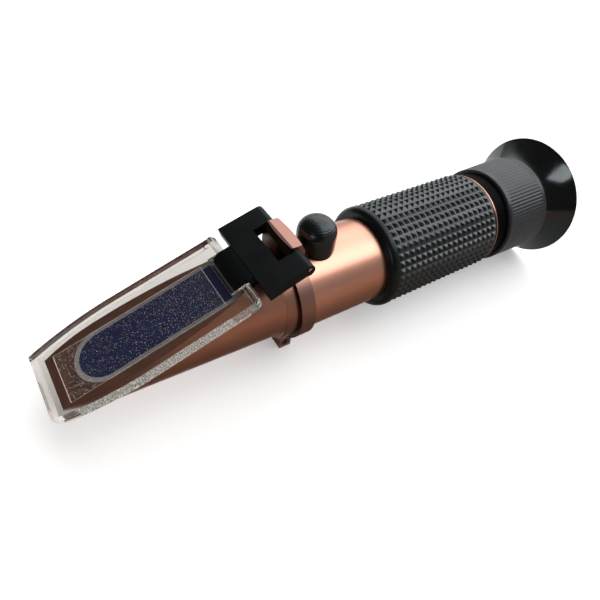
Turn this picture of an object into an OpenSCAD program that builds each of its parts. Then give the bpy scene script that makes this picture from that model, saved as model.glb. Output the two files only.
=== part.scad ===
// Hand refractometer: a prism head with a hinged daylight plate, a copper coloured barrel and a focusing eyepiece.
// The instrument lies on its clamp lug and on the rim of its eyecup. X runs along the optical axis, the eyepiece at +X.

/* [Eyecup] */
// Radius of the eyecup's rim, which is also the height of the optical axis
cup_r = 20; // [18.5:0.1:21.5]
// Length of the eyecup behind the focus ring
cup_l = 9.1; // [8.5:0.1:11]
// Radius of the eyecup where it leaves the focus ring
cup_neck_r = 13.9; // [13.2:0.1:14.6]
// Thickness of the eyecup's flare
cup_wall = 1.5; // [1:0.1:2]

/* [Focus ring] */
// Radius of the focus ring at its rear
ring_r = 15.6; // [15.4:0.1:16]
// Length of the focus ring
ring_l = 17.3; // [16.5:0.1:19]
// How much the ring narrows towards the front
ring_taper = 0.4; // [0:0.1:0.8]
// Chamfer at both ends of the ring
ring_chamfer = 0.4; // [0.2:0.05:0.6]
// Depth of the recess in the ring that takes the eyecup's bead
cup_seat = 2; // [1.8:0.1:2.4]

/* [Eyepiece] */
// Length of the eyepiece tube that shows between barrel and focus ring
tube_gap = 5.3; // [4.8:0.1:7]
// Radius of the eyepiece tube outside the barrel
eye_tube_r = 14.2; // [14:0.05:14.35]
// Wall of the eyepiece tube outside the barrel
eye_tube_wall = 1.2; // [1:0.05:1.4]
// Length of the eyepiece tube inside the barrel
eye_spigot_l = 11; // [9:0.5:14]
// Length of the eyepiece tube inside the focus ring
eye_tube_in = 9; // [8.6:0.1:9.4]
// How far the focus ring screws in from rest
travel_in = 4; // [3:0.1:4.2]
// How far the focus ring screws out from rest
travel_out = 1; // [0.5:0.1:1.5]
// Length of the cell that carries the eyepiece lenses
cell_l = 15.5; // [15:0.1:15.8]
// Clear bore of the cell
cell_bore_r = 9; // [8.8:0.1:9.3]
// Thickness of the field lens
field_lens_t = 3; // [2.6:0.1:3.3]
// Thickness of the eye lens
eye_lens_t = 3.6; // [3.2:0.1:4]
// Gap that the spacer keeps between the lenses
lens_gap = 5.5; // [4.5:0.1:5.8]
// Radius of a lens face
lens_face_r = 34; // [32:0.5:60]

/* [Barrel] */
// Radius of the barrel
barrel_r = 12.4; // [12.2:0.05:12.6]
// Wall of the barrel
barrel_wall = 1.2; // [1:0.05:1.5]
// Length of the barrel
barrel_l = 75.6; // [74:0.1:80]
// Rounding of the barrel's front edge
barrel_edge = 0.6; // [0.3:0.1:0.8]

/* [Grip] */
// Radius of the grip over its studs
grip_r = 15.2; // [14.9:0.05:15.4]
// Length of the grip
grip_l = 42.4; // [38:0.1:44]
// Smooth band at each end of the grip
grip_band = 1.5; // [1:0.1:2.5]
// Number of studs along the grip
grip_rows = 19; // [14:1:22]
// Depth of the grooves between the studs
grip_groove = 0.8; // [0.5:0.05:1]
// Lip of bare barrel behind the grip
barrel_lip = 0.3; // [0.2:0.1:0.6]

/* [Prism housing] */
// Length of the housing in front of the barrel
housing_l = 53.7; // [52:0.1:55]
// Radius that the housing's sides aim at on its front edge
housing_front_r = 9.05; // [9:0.05:9.3]
// Radius of the housing at the barrel
housing_rear_r = 12.25; // [12.05:0.05:12.35]
// Depth of the housing's underside below the optical axis, at its front
housing_drop = 10.8; // [10.7:0.05:11]
// Depth of the housing's underside below the optical axis, at the barrel
housing_rear_drop = 10.2; // [10.1:0.05:10.4]
// Length over which the nose of the housing rounds in
nose_l = 12; // [9:0.5:14]
// How much the nose rounds in at its front edge
nose_in = 1.3; // [1:0.1:1.6]
// Slope of the prism face, in degrees
face_slope = 18.8; // [18.4:0.1:19.1]
// Height of the prism face at the housing's front edge, from the optical axis
face_front_z = -4.1; // [-4.3:0.05:-4]
// Length of the spigot inside the barrel
spigot_l = 8.5; // [8:0.1:10]
// Radius of the light path through the housing
light_r = 6.6; // [6.2:0.1:7]

/* [Prism] */
// Half width of the prism
prism_half_w = 6.05; // [5.8:0.05:6.2]
// Width of the grey sealing line round the prism
seal_w = 1.2; // [1:0.05:1.3]
// Depth of the sealing line
seal_depth = 1.2; // [0.8:0.1:1.6]
// Distance from the housing's front edge to the sealing line
seal_start = 5.6; // [5.2:0.1:6]
// Length of the prism along its sloping face
prism_l = 37.5; // [36.5:0.1:38]
// Depth of the prism's underside below the optical axis
prism_drop = 5.2; // [4.8:0.1:5.5]
// Thickness of the bed under the prism
bed_t = 1; // [0.8:0.1:1.2]

/* [Daylight plate] */
// Thickness of the plate over the prism face
plate_t = 3.1; // [3:0.05:3.3]
// Length of the plate
plate_l = 51.6; // [51:0.1:52]
// Half width of the plate at its rear
plate_half_w = 12.2; // [12:0.05:12.5]
// Half width of the plate's front edge
plate_front_half_w = 9.3; // [9:0.1:9.8]
// Overhang of the plate in front of the housing
plate_over = 2.4; // [2.1:0.1:3]
// Wall of the plate's skirt
skirt_wall = 1.1; // [0.9:0.05:1.3]
// How far the skirt hangs below the prism face
skirt_drop = 0.3; // [0.1:0.05:0.4]
// Thickness of the plate between its skirts
web_t = 2.8; // [2.6:0.05:2.9]
// Distance from the housing's front edge to the frosted pad
pad_start = 2.1; // [1.8:0.1:2.4]
// Half width of the frosted pad under the plate
pad_half_w = 7; // [6.5:0.1:7.4]
// Length of the frosted pad
pad_l = 40; // [38:0.5:42]
// Thickness of the rear wall with the two rounded bars
bar_t = 2.6; // [2.4:0.1:2.8]
// How far the bars stand over the plate
bar_rise = 0.3; // [0.2:0.1:0.6]
// Half width of the notch for the bracket's tongue
notch_half_w = 6.3; // [6.2:0.05:6.6]
// Length of the notch
notch_l = 4.8; // [4.6:0.1:5.2]
// Thickness of the ledge under the tongue
ledge_t = 1.6; // [1.4:0.1:1.8]
// Rounding of the plate's rear corners, seen from above
plate_corner = 1.4; // [0.8:0.1:1.8]

/* [Bracket and hinge] */
// Distance from the housing's front edge to the hinge pin, along the prism face
pin_s = 62.7; // [62.4:0.1:63.4]
// Height of the hinge pin over the prism face
pin_h = 2.2; // [2.2:0.02:2.3]
// Radius of the hinge pin
pin_r = 0.7; // [0.6:0.02:0.75]
// Half width of the bracket at its front
bracket_half_w = 12.6; // [12.4:0.05:13]
// Half width of the bracket over the pin
arm_half_w = 12.3; // [12:0.05:12.5]
// Gap between the plate and the bracket's body
bracket_gap = 1.8; // [1.4:0.1:2.2]
// Height of the bracket's underside over the prism face
bracket_low = 0.95; // [0.9:0.01:1]
// Height of the bracket's top over the prism face
bracket_top = 3.8; // [3.7:0.05:4]
// Length of the bracket's body in front of its window
bracket_body_l = 6.8; // [6:0.1:7.2]
// Gap between an arm and the hinge block
arm_gap = 0.45; // [0.35:0.05:0.6]
// Half width of the hinge block
block_half_w = 5.7; // [5.4:0.05:6]
// Length of the hinge block
block_l = 5.4; // [5:0.1:5.6]
// Height of the hinge block's flat top from the optical axis
block_top = 20.2; // [20.1:0.05:20.5]
// Height at which the bevels of the block start
bevel_start = 18.9; // [18.7:0.05:19]
// Radial clearance of the hinge pin in the block
pin_clear = 0.05; // [0.03:0.01:0.08]

/* [Collar] */
// Distance from the barrel's front to the collar
collar_start = 3.9; // [3.7:0.1:4.4]
// Width of the collar
collar_w = 4.3; // [4.2:0.1:4.7]
// Wall of the collar
collar_wall = 1.2; // [1:0.05:1.3]
// Half width of the clamp lug
lug_half_w = 5; // [4.8:0.1:5.6]
// Width of the slit in the clamp lug
slit_w = 1; // [0.6:0.1:1.4]
// Radius of the clamp screw's shank
clamp_screw_r = 1; // [0.9:0.05:1.05]
// Height of the clamp screw over the lug's foot
clamp_screw_z = 2.3; // [2.2:0.05:2.5]

/* [Calibration] */
// Distance from the barrel's front to the calibration screw
calib_x = 15.1; // [14.6:0.1:16]
// Radius of the rubber cap
cap_r = 5.3; // [5.1:0.05:5.5]
// Height of the cap over the barrel
cap_h = 8.8; // [8.2:0.1:9.2]
// Rounding of the cap's shoulder
cap_round = 3.9; // [3.4:0.1:4.2]
// Radius of the bush under the cap
bush_r = 3.8; // [3.6:0.05:4]
// Height of the bush over the barrel
bush_h = 5.2; // [4.9:0.1:5.5]
// Radius of the calibration screw
calib_screw_r = 1.5; // [1.3:0.05:1.6]
// Length of the calibration screw
calib_screw_l = 6.7; // [6.5:0.05:6.9]

/* [Optics in the barrel] */
// Width of the carrier ring
carrier_w = 6; // [5.6:0.1:6.6]
// Outer radius of the carrier ring
carrier_r = 9; // [8.8:0.05:9.2]
// Clear radius of the objective
objective_r = 6.4; // [6:0.05:6.6]
// Thickness of the objective
objective_t = 2.8; // [2.4:0.1:3]
// Thickness of a threaded retaining ring
retainer_t = 1.2; // [1:0.1:1.4]
// Length of the bimetal strip
strip_l = 20; // [16:0.5:24]
// Thickness of the bimetal strip
strip_t = 0.8; // [0.6:0.05:0.9]
// Width of the bimetal strip
strip_w = 5; // [4.5:0.1:5.5]
// Length of the ring that anchors the bimetal strip
anchor_l = 4; // [3.5:0.1:5]
// Thickness of the scale reticle
reticle_t = 1.5; // [1.2:0.1:1.8]
// Distance from the housing's spigot to the light baffle
baffle_gap = 0.2; // [0.1:0.05:0.4]
// Thickness of the light baffle
baffle_t = 1; // [0.8:0.1:1.2]

/* [Hidden] */

// Facets of round surfaces, of small ones and of the profile arcs that are revolved
fine = 96;
small = 32;
// Overlap of a cutting tool beyond the face that it cuts
cut = 1;
// Clearances: a sliding fit, a seat between two fixed pieces and free air round a moving one
slide_clear = 0.06;
seat_clear = 0.02;
air = 0.3;

// Reach of the cutting tools and half spaces, more than the head's height over the optical axis
reach = 2 * barrel_r;

// Places along the optical axis, from the plate's front edge
housing_x = plate_over * cos(face_slope) + plate_t * sin(face_slope);
barrel_x = housing_x + housing_l;
collar_x = barrel_x + collar_start;
calib_at = barrel_x + calib_x;
grip_x = barrel_x + barrel_l - barrel_lip - grip_l;
barrel_end = barrel_x + barrel_l;
ring_x = barrel_end + tube_gap;
cup_x = ring_x + ring_l;
total_l = cup_x + cup_l;
axis_h = cup_r;

// How far the barrel's rear lip and the grip's rounded front edge stay below the studs
lip_in = 0.5;
grip_edge = 0.8;
grip_pitch = (grip_l - 2 * grip_band) / grip_rows;
// Half width of a groove's mouth, as a share of the studs' pitch
groove_share = 0.42;

// Inside of the barrel
bore_r = barrel_r - barrel_wall;
spigot_r = bore_r - seat_clear;
spigot_end = barrel_x + spigot_l;

// Hinge: the pin's place from the optical axis
pin_x = housing_x + pin_s * cos(face_slope) - pin_h * sin(face_slope);
pin_z = face_front_z + pin_s * sin(face_slope) + pin_h * cos(face_slope);
// The arms' round ends reach a little below the bracket's underside and are centred in front of the pin
arm_low = 0.35;
arm_back = 0.4;
arm_r = pin_h - bracket_low + arm_low;
arm_s = pin_s - arm_back;
window_half_w = block_half_w + arm_gap;
plate_start = -plate_over;
plate_end = plate_l - plate_over;
bracket_start = plate_end + bracket_gap;
window_s = bracket_start + bracket_body_l;
// The block's bevels run in by this much for each unit of radius
bevel_run = 0.57;

// Plan of the daylight plate: straight sides that curve in towards the front edge
plate_bend_s = 20;
bend_run = plate_bend_s + plate_over;
bend_in = plate_half_w - plate_front_half_w;
bend_r = (bend_run * bend_run + bend_in * bend_in) / (2 * bend_in);
// Film of sample between pad and prism
film = 0.1;

// The tongue lies on the plate's ledge, slopes down at its front and is rounded at its front corners
tongue_front_h = 0.7;
tongue_slope_l = 2.4;
tongue_step = 0.2;
tongue_gap = 0.3;
tongue_front_gap = 1;
tongue_corner = 1.2;

// The lug is a little narrower than the collar
lug_in = 0.3;

// Head of the clamp screw, sunk into the lug, and its cross recess
screw_head_r = 1.6;
screw_head_t = 1.4;
recess_w = 0.5;
recess_l = 2.2;
recess_depth = 0.7;

// Prism, measured along its face from the housing's front edge
prism_start = seal_start + seal_w;
prism_end = prism_start + prism_l;
prism_exit_x = housing_x + prism_end * cos(face_slope);
prism_clear = 0.1;
bed_x = housing_x + prism_start + bed_t;

// The housing is a turned cone whose centre line rises towards the barrel
front_centre_z = housing_front_r - housing_drop;
rear_centre_z = housing_rear_r - housing_rear_drop;
housing_tilt = atan((rear_centre_z - front_centre_z) / housing_l);
housing_slant = housing_l / cos(housing_tilt);
nose_steps = 6;

// Groove and ring that seal the housing in the barrel
oring_t = 0.6;
oring_depth = 2 * oring_t + seat_clear;
groove_w = 1.5;
groove_start = 4;

// The bush is screwed into the barrel's wall and carries the calibration screw
bush_stem_r = 2.8;
bush_in = 0.6;
bush_lift = 0.1;
thread_clear = 0.05;
screw_sunk = 0.8;
calib_top = barrel_r + bush_h - screw_sunk;
screw_tip_z = calib_top - calib_screw_l;
slot_w = 0.5;
slot_depth = 0.9;

// The objective's carrier: the bimetal strip holds it and the calibration screw shifts it
carrier_x = calib_at - carrier_w / 2;
objective_seat = 0.8;
objective_seat_r = objective_r + objective_seat;
carrier_lip = 1;
carrier_lip_in = 0.6;
carrier_lip_r = objective_r - carrier_lip_in;
objective_x = carrier_x + carrier_lip;
foot_r = 2.2;
foot_gap = 0.1;
baffle_in = 0.6;
baffle_r = light_r - baffle_in;
strip_seat_l = 3;
anchor_x = carrier_x + carrier_w + strip_l - strip_seat_l - anchor_l;

// The spring lifts the carrier against the tip of the calibration screw
spring_wire = 0.2;
spring_r = 1.4;
spring_turns = 2.5;
spring_sides = 8;
spring_rings = 20;
spring_low = seat_clear - bore_r;
spring_high = -carrier_r - seat_clear;

// The reticle lies in the front of the eyepiece tube's spigot, behind its threaded ring
eye_spigot_r = bore_r - seat_clear;
reticle_lip = 0.3;
reticle_x = barrel_end - eye_spigot_l + retainer_t + reticle_lip;
reticle_wall = 1;
reticle_r = eye_spigot_r - reticle_wall;

// Eyepiece radii, from the tube inwards
eye_bore_r = eye_tube_r - eye_tube_wall;
cell_r = eye_bore_r - slide_clear;
lens_land = 1.2;
lens_r = cell_bore_r + lens_land;
field_in = 0.6;
field_r = cell_bore_r - field_in;
ring_bore_r = eye_tube_r + slide_clear;
ring_front_r = ring_r - ring_taper;
eye_tube_end = ring_x + eye_tube_in;
stem_step = 1.2;
cell_stem_r = cell_r - stem_step;
flange_x = eye_tube_end + travel_in + air;
keeper_x = cup_x - cup_seat + slide_clear;
keeper_t = 0.6;
keeper_bite = 0.5;
keeper_land = 0.4;
keeper_slit = 2;
cell_end = keeper_x + keeper_t + keeper_land;
cell_x = cell_end - cell_l;

// Steps, grooves and the key of the eyepiece
step_t = 1;
ring_groove = 0.75;
ring_groove_in = 4;
focus_oring_r = 0.35;
key_r = 0.9;
key_in = 0.9;
key_start = 2.5;
key_x = ring_x + key_start;
lens_rest = 0.6;
field_lens_x = cell_x + lens_rest + seat_clear;
spacer_x = field_lens_x + field_lens_t + seat_clear;
eye_lens_x = spacer_x + lens_gap + seat_clear;
lens_retainer_x = eye_lens_x + eye_lens_t + seat_clear;
cup_bead_in = 1.6;
cup_bead_r = ring_r - cup_bead_in;
flare_power = 1.35;
cup_steps = 10;

// The whole instrument is drawn from the plate's front edge and then set over the middle of its length
module placed() {
    translate([-total_l / 2, 0, axis_h]) children();
}

// A turned piece: the outline is drawn as radius and distance along the optical axis
module turned(x = 0) {
    translate([x, 0, 0]) rotate([0, 90, 0]) rotate_extrude($fn = fine) children();
}

module tube(x, length, outer, inner) {
    translate([x, 0, 0]) rotate([0, 90, 0]) difference() {
        cylinder(h = length, r = outer, $fn = fine);
        translate([0, 0, -cut]) cylinder(h = length + 2 * cut, r = inner, $fn = fine);
    }
}

module rod(x, length, radius) {
    translate([x, 0, 0]) rotate([0, 90, 0]) cylinder(h = length, r = radius, $fn = fine);
}

// Sets its children on the sloping prism face, X running up the slope from the housing's front edge
module on_face() {
    translate([housing_x, 0, face_front_z]) rotate([0, -face_slope, 0]) children();
}

// A flat bar with round ends, as wide as the prism, lying along the prism face
module stadium(start, end, half_w, low, high) {
    translate([0, 0, low]) linear_extrude(high - low) {
        translate([start + half_w, 0]) circle(r = half_w, $fn = fine);
        translate([start + half_w, -half_w]) square([end - start - half_w, 2 * half_w]);
    }
}

// Everything that lies above the prism face
module above_face() {
    on_face() translate([-barrel_r, -reach, 0]) cube([housing_l + 4 * barrel_r, 2 * reach, 2 * reach]);
}

// Tapered body of the housing: its nose rounds in along a parabola
module housing_body() {
    side = function(x) housing_front_r + (housing_rear_r - housing_front_r) * x / housing_slant;
    nose = [for (i = [0 : nose_steps]) let (x = nose_l * i / nose_steps)
        [side(x) - nose_in * pow(1 - i / nose_steps, 2), x]];
    translate([housing_x, 0, front_centre_z]) rotate([0, 90 - housing_tilt, 0]) rotate_extrude($fn = fine)
        polygon(concat([[0, -cut], [side(0) - nose_in, -cut]], nose,
            [[side(housing_slant + cut), housing_slant + cut], [0, housing_slant + cut]]));
}

module prism_body(grow = 0) {
    intersection() {
        on_face() stadium(prism_start - grow, prism_end + grow, prism_half_w + grow, -reach, 0);
        translate([0, -reach, -prism_drop - grow])
            cube([prism_exit_x + grow, 2 * reach, 2 * reach]);
    }
}

module prism_housing() {
    color([0.42, 0.25, 0.18]) placed() difference() {
        union() {
            intersection() {
                housing_body();
                rod(housing_x, housing_l, 2 * barrel_r);
            }
            rod(barrel_x, spigot_l, spigot_r);
            rod(barrel_x - cut, 2 * cut, light_r + cut);
        }
        above_face();
        prism_body(prism_clear);
        on_face() stadium(seal_start, prism_end + seal_w, prism_half_w + seal_w, -seal_depth, cut);
        translate([bed_x - seat_clear, -prism_half_w, -prism_drop - bed_t])
            cube([prism_exit_x - bed_x + seat_clear, 2 * prism_half_w, bed_t + cut]);
        rod(prism_exit_x - cut, spigot_end - prism_exit_x + 2 * cut, light_r);
        turned(barrel_x) translate([spigot_r - oring_depth, groove_start])
            square([2 * oring_depth, groove_w]);
    }
}

module main_prism() {
    color([0.1, 0.13, 0.32]) placed() prism_body();
}

module prism_seal() {
    color([0.5, 0.51, 0.55]) placed() intersection() {
        difference() {
            on_face() stadium(seal_start, prism_end + seal_w, prism_half_w + seal_w, -seal_depth, 0);
            prism_body(seat_clear);
        }
        housing_body();
    }
}

module prism_bed() {
    color([0.08, 0.08, 0.08]) placed() translate([bed_x, seat_clear - prism_half_w, -prism_drop - bed_t])
        cube([prism_exit_x - bed_x, 2 * (prism_half_w - seat_clear), bed_t]);
}

module plate_plan(inset = 0) {
    w = plate_half_w - inset;
    r = bend_r - inset;
    intersection() {
        translate([plate_start + inset, -w]) square([plate_l - 2 * inset, 2 * w]);
        union() {
            translate([plate_bend_s, -w]) square([plate_l, 2 * w]);
            intersection() {
                translate([plate_bend_s, w - r]) circle(r = r, $fn = 4 * fine);
                translate([plate_bend_s, r - w]) circle(r = r, $fn = 4 * fine);
            }
        }
    }
}

// What the rounding takes off one rear corner
module plate_corner_cutter() {
    translate([plate_end - plate_corner, plate_half_w - plate_corner, -reach]) linear_extrude(2 * reach) difference() {
        square(plate_corner + cut);
        circle(r = plate_corner, $fn = small);
    }
}

module daylight_plate() {
    bar_r = bar_t / 2;
    bar_low = plate_t + bar_rise - bar_r;
    color([0.85, 0.88, 0.88, 0.5]) placed() on_face() difference() {
        union() {
            translate([0, 0, plate_t - web_t]) linear_extrude(web_t) plate_plan();
            translate([0, 0, -skirt_drop]) linear_extrude(plate_t + skirt_drop) difference() {
                plate_plan();
                plate_plan(inset = skirt_wall);
            }
            translate([pad_start, -pad_half_w, film]) cube([pad_l, 2 * pad_half_w, plate_t - web_t]);
            translate([plate_end - bar_t, -plate_half_w, -skirt_drop])
                cube([bar_t, 2 * plate_half_w, bar_low + skirt_drop]);
            translate([plate_end - bar_r, plate_half_w, bar_low]) rotate([90, 0, 0])
                cylinder(h = 2 * plate_half_w, r = bar_r, $fn = small);
        }
        translate([plate_end - notch_l, -notch_half_w, ledge_t])
            cube([notch_l + cut, 2 * notch_half_w, reach]);
        translate([plate_end - bar_t - cut, -reach, -reach]) cube([bar_t + 2 * cut, 2 * reach, reach + film]);
        for (side = [0, 1]) mirror([0, side, 0]) plate_corner_cutter();
    }
}

module bracket_tongue() {
    w = notch_half_w - tongue_gap;
    start = plate_end - notch_l + tongue_front_gap;
    end = bracket_start + cut;
    top = bracket_top - tongue_step;
    intersection() {
        translate([0, w, 0]) rotate([90, 0, 0]) linear_extrude(2 * w) polygon([
            [start, ledge_t], [start, ledge_t + tongue_front_h], [start + tongue_slope_l, top], [end, top],
            [end, ledge_t]]);
        linear_extrude(bracket_top) {
            translate([start + tongue_corner, -w]) square([end - start - tongue_corner, 2 * w]);
            translate([start, tongue_corner - w]) square([end - start, 2 * (w - tongue_corner)]);
            for (side = [-1, 1]) translate([start + tongue_corner, side * (w - tongue_corner)])
                circle(r = tongue_corner, $fn = small);
        }
    }
}

module bracket_outline() {
    polygon([[bracket_start, -bracket_half_w], [arm_s, -arm_half_w], [arm_s, arm_half_w],
        [bracket_start, bracket_half_w]]);
}

module plate_bracket() {
    color([0.11, 0.12, 0.12]) placed() on_face() difference() {
        union() {
            translate([0, 0, bracket_low]) linear_extrude(bracket_top - bracket_low) bracket_outline();
            translate([arm_s, arm_half_w, bracket_top - arm_r]) rotate([90, 0, 0])
                cylinder(h = 2 * arm_half_w, r = arm_r, $fn = small);
            bracket_tongue();
        }
        translate([window_s, -window_half_w, -reach]) cube([reach, 2 * window_half_w, 2 * reach]);
        translate([pin_s, reach, pin_h]) rotate([90, 0, 0]) cylinder(h = 2 * reach, r = pin_r, $fn = small);
    }
}

module hinge_pin() {
    color([0.8, 0.8, 0.82]) placed() translate([pin_x, arm_half_w - air, pin_z]) rotate([90, 0, 0])
        cylinder(h = 2 * (arm_half_w - air), r = pin_r, $fn = small);
}

// Turned flange that the hinge block is cut from, bevelled on both sides
module block_flange() {
    half_l = block_l / 2;
    tip_r = bevel_start + half_l / bevel_run;
    turned(pin_x) polygon([[barrel_r, -half_l], [bevel_start, -half_l], [tip_r, 0], [bevel_start, half_l],
        [barrel_r, half_l]]);
}

module hinge_collar() {
    collar_r = barrel_r + collar_wall;
    color([0.47, 0.27, 0.2]) placed() difference() {
        union() {
            rod(collar_x, collar_w, collar_r);
            intersection() {
                block_flange();
                translate([pin_x - block_l, -block_half_w, 0]) cube([2 * block_l, 2 * block_half_w, block_top]);
            }
            translate([collar_x + lug_in, -lug_half_w, -axis_h])
                cube([collar_w - 2 * lug_in, 2 * lug_half_w, axis_h - barrel_r + cut]);
        }
        rod(pin_x - 2 * block_l, 4 * block_l, barrel_r + seat_clear);
        translate([collar_x - cut, -slit_w / 2, -axis_h - cut]) cube([collar_w + 2 * cut, slit_w, axis_h]);
        translate([pin_x, reach, pin_z]) rotate([90, 0, 0])
            cylinder(h = 2 * reach, r = pin_r + pin_clear, $fn = small);
        translate([collar_x + collar_w / 2, reach, clamp_screw_z - axis_h]) rotate([90, 0, 0])
            cylinder(h = 2 * reach, r = clamp_screw_r, $fn = small);
        translate([collar_x + collar_w / 2, -lug_half_w + screw_head_t, clamp_screw_z - axis_h]) rotate([90, 0, 0])
            cylinder(h = reach, r = screw_head_r + seat_clear, $fn = small);
    }
}

module clamp_screw() {
    color([0.3, 0.12, 0.1]) placed()
        translate([collar_x + collar_w / 2, 0, clamp_screw_z - axis_h]) difference() {
            union() {
                translate([0, lug_half_w - air, 0]) rotate([90, 0, 0])
                    cylinder(h = 2 * (lug_half_w - air), r = clamp_screw_r, $fn = small);
                translate([0, -lug_half_w + screw_head_t, 0]) rotate([90, 0, 0])
                    cylinder(h = screw_head_t, r = screw_head_r, $fn = small);
            }
            for (turn = [0, 90]) rotate([0, turn, 0])
                translate([-recess_w / 2, -lug_half_w - cut, -recess_l / 2])
                    cube([recess_w, recess_depth + cut, recess_l]);
        }
}

module housing_oring() {
    color([0.06, 0.06, 0.06]) placed() turned(barrel_x + groove_start + groove_w / 2)
        translate([spigot_r - oring_t, 0]) circle(r = oring_t, $fn = small);
}

module light_baffle() {
    color([0.1, 0.1, 0.1]) placed() tube(spigot_end + baffle_gap, baffle_t, spigot_r, baffle_r);
}

module barrel_tube() {
    color([0.75, 0.48, 0.38]) placed() difference() {
        turned(barrel_x) difference() {
            union() {
                translate([0, barrel_edge]) square([barrel_r, barrel_l - barrel_edge]);
                square([barrel_r - barrel_edge, barrel_l]);
                translate([barrel_r - barrel_edge, barrel_edge]) circle(r = barrel_edge, $fn = small);
                translate([0, barrel_l - barrel_lip + seat_clear])
                    square([grip_r - lip_in, barrel_lip - seat_clear]);
            }
            translate([-cut, -cut]) square([bore_r + cut, barrel_l + 2 * cut]);
        }
        translate([calib_at, 0, 0]) cylinder(h = reach, r = bush_stem_r, $fn = small);
    }
}

module grip_sleeve() {
    bore = barrel_r + seat_clear;
    wide = grip_pitch * groove_share;
    color([0.12, 0.13, 0.14]) placed() turned(grip_x) difference() {
        union() {
            translate([bore, 0]) square([grip_r - bore - grip_edge, grip_l]);
            translate([bore, grip_edge]) square([grip_r - bore, grip_l - grip_edge]);
            translate([grip_r - grip_edge, grip_edge]) circle(r = grip_edge, $fn = small);
        }
        for (i = [0 : grip_rows]) translate([grip_r, grip_band + i * grip_pitch])
            polygon([[-grip_groove, 0], [0, -wide], [cut, -wide], [cut, wide], [0, wide]]);
    }
}

module calibration_bush() {
    color([0.7, 0.6, 0.35]) placed() translate([calib_at, 0, 0]) difference() {
        union() {
            translate([0, 0, bore_r - bush_in])
                cylinder(h = barrel_wall + bush_h + bush_in, r = bush_stem_r - seat_clear, $fn = small);
            translate([0, 0, barrel_r + bush_lift]) cylinder(h = bush_h - bush_lift, r = bush_r, $fn = small);
        }
        cylinder(h = reach, r = calib_screw_r + thread_clear, $fn = small);
    }
}

module calibration_screw() {
    color([0.78, 0.78, 0.76]) placed() translate([calib_at, 0, calib_top - calib_screw_l]) difference() {
        cylinder(h = calib_screw_l, r = calib_screw_r, $fn = small);
        translate([-slot_w / 2, -reach / 2, calib_screw_l - slot_depth]) cube([slot_w, reach, slot_depth + cut]);
    }
}

module calibration_cap() {
    top_z = barrel_r + cap_h;
    color([0.08, 0.09, 0.09]) placed() translate([calib_at, 0, 0]) difference() {
        rotate_extrude($fn = fine) intersection() {
            square([cap_r, top_z]);
            union() {
                translate([0, barrel_r]) square([cap_r, cap_h - cap_round]);
                translate([0, barrel_r]) square([cap_r - cap_round, cap_h]);
                translate([cap_r - cap_round, top_z - cap_round]) circle(r = cap_round, $fn = fine);
            }
        }
        cylinder(h = barrel_r + bush_h + air, r = bush_r + slide_clear, $fn = fine);
        rotate([0, 90, 0]) cylinder(h = 2 * reach, r = barrel_r + seat_clear, center = true, $fn = fine);
    }
}

module lens_carrier() {
    color([0.15, 0.15, 0.16]) placed() difference() {
        union() {
            rod(carrier_x, carrier_w, carrier_r);
            translate([calib_at, 0, 0]) cylinder(h = screw_tip_z - foot_gap, r = foot_r, $fn = small);
        }
        rod(carrier_x - cut, carrier_w + 2 * cut, carrier_lip_r);
        rod(objective_x, carrier_w + cut, objective_seat_r);
        translate([carrier_x + carrier_w - strip_seat_l, -strip_w / 2 - air, -carrier_r - cut])
            cube([strip_seat_l + cut, strip_w + 2 * air, cut + strip_t + air]);
    }
}

// A lens is turned from the piece of a disc that two large circles leave
module lens(x, thickness, radius) {
    turned(x) intersection() {
        square([radius, thickness]);
        translate([0, lens_face_r]) circle(r = lens_face_r, $fn = 8 * fine);
        translate([0, thickness - lens_face_r]) circle(r = lens_face_r, $fn = 8 * fine);
    }
}

module objective_lens() {
    color([0.8, 0.88, 0.9, 0.5]) placed()
        lens(objective_x + seat_clear, objective_t, objective_seat_r - seat_clear);
}

module objective_retainer() {
    color([0.2, 0.2, 0.2]) placed() tube(objective_x + objective_t + 2 * seat_clear, retainer_t,
        objective_seat_r - seat_clear, objective_r - retainer_t / 2);
}

module strip_anchor() {
    color([0.18, 0.18, 0.19]) placed() difference() {
        tube(anchor_x, anchor_l, bore_r - seat_clear, light_r);
        translate([anchor_x - cut, -strip_w / 2 - seat_clear, -carrier_r])
            cube([anchor_l + 2 * cut, strip_w + 2 * seat_clear, strip_t]);
    }
}

module bimetal_strip() {
    color([0.72, 0.66, 0.5]) placed()
        translate([carrier_x + carrier_w - strip_seat_l + seat_clear, -strip_w / 2, -carrier_r])
            cube([strip_l, strip_w, strip_t]);
}

// A coil as one swept tube: rings of points along a helix, joined side to side and closed at both ends
module coil(radius, wire, height, turns) {
    sides = spring_sides;
    rings = floor(turns * spring_rings);
    points = [for (i = [0 : rings], k = [0 : sides - 1])
        let (a = 360 * i / spring_rings, b = 360 * k / sides, r = radius + wire * cos(b))
        [r * cos(a), r * sin(a), wire + (height - 2 * wire) * i / rings + wire * sin(b)]];
    walls = [for (i = [0 : rings - 1], k = [0 : sides - 1]) let (n = (k + 1) % sides)
        [i * sides + k, i * sides + n, (i + 1) * sides + n, (i + 1) * sides + k]];
    ends = [[for (k = [sides - 1 : -1 : 0]) k], [for (k = [0 : sides - 1]) rings * sides + k]];
    polyhedron(points = points, faces = concat(walls, ends));
}

module carrier_spring() {
    color([0.75, 0.75, 0.78]) placed() translate([carrier_x + spring_r + 2 * spring_wire, 0, spring_low])
        coil(spring_r, spring_wire, spring_high - spring_low, spring_turns);
}

module scale_reticle() {
    color([0.85, 0.9, 0.95, 0.6]) placed() rod(reticle_x, reticle_t, reticle_r);
}

module reticle_retainer() {
    color([0.15, 0.15, 0.15]) placed()
        tube(reticle_x - retainer_t - seat_clear, retainer_t, reticle_r, field_r);
}

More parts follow.
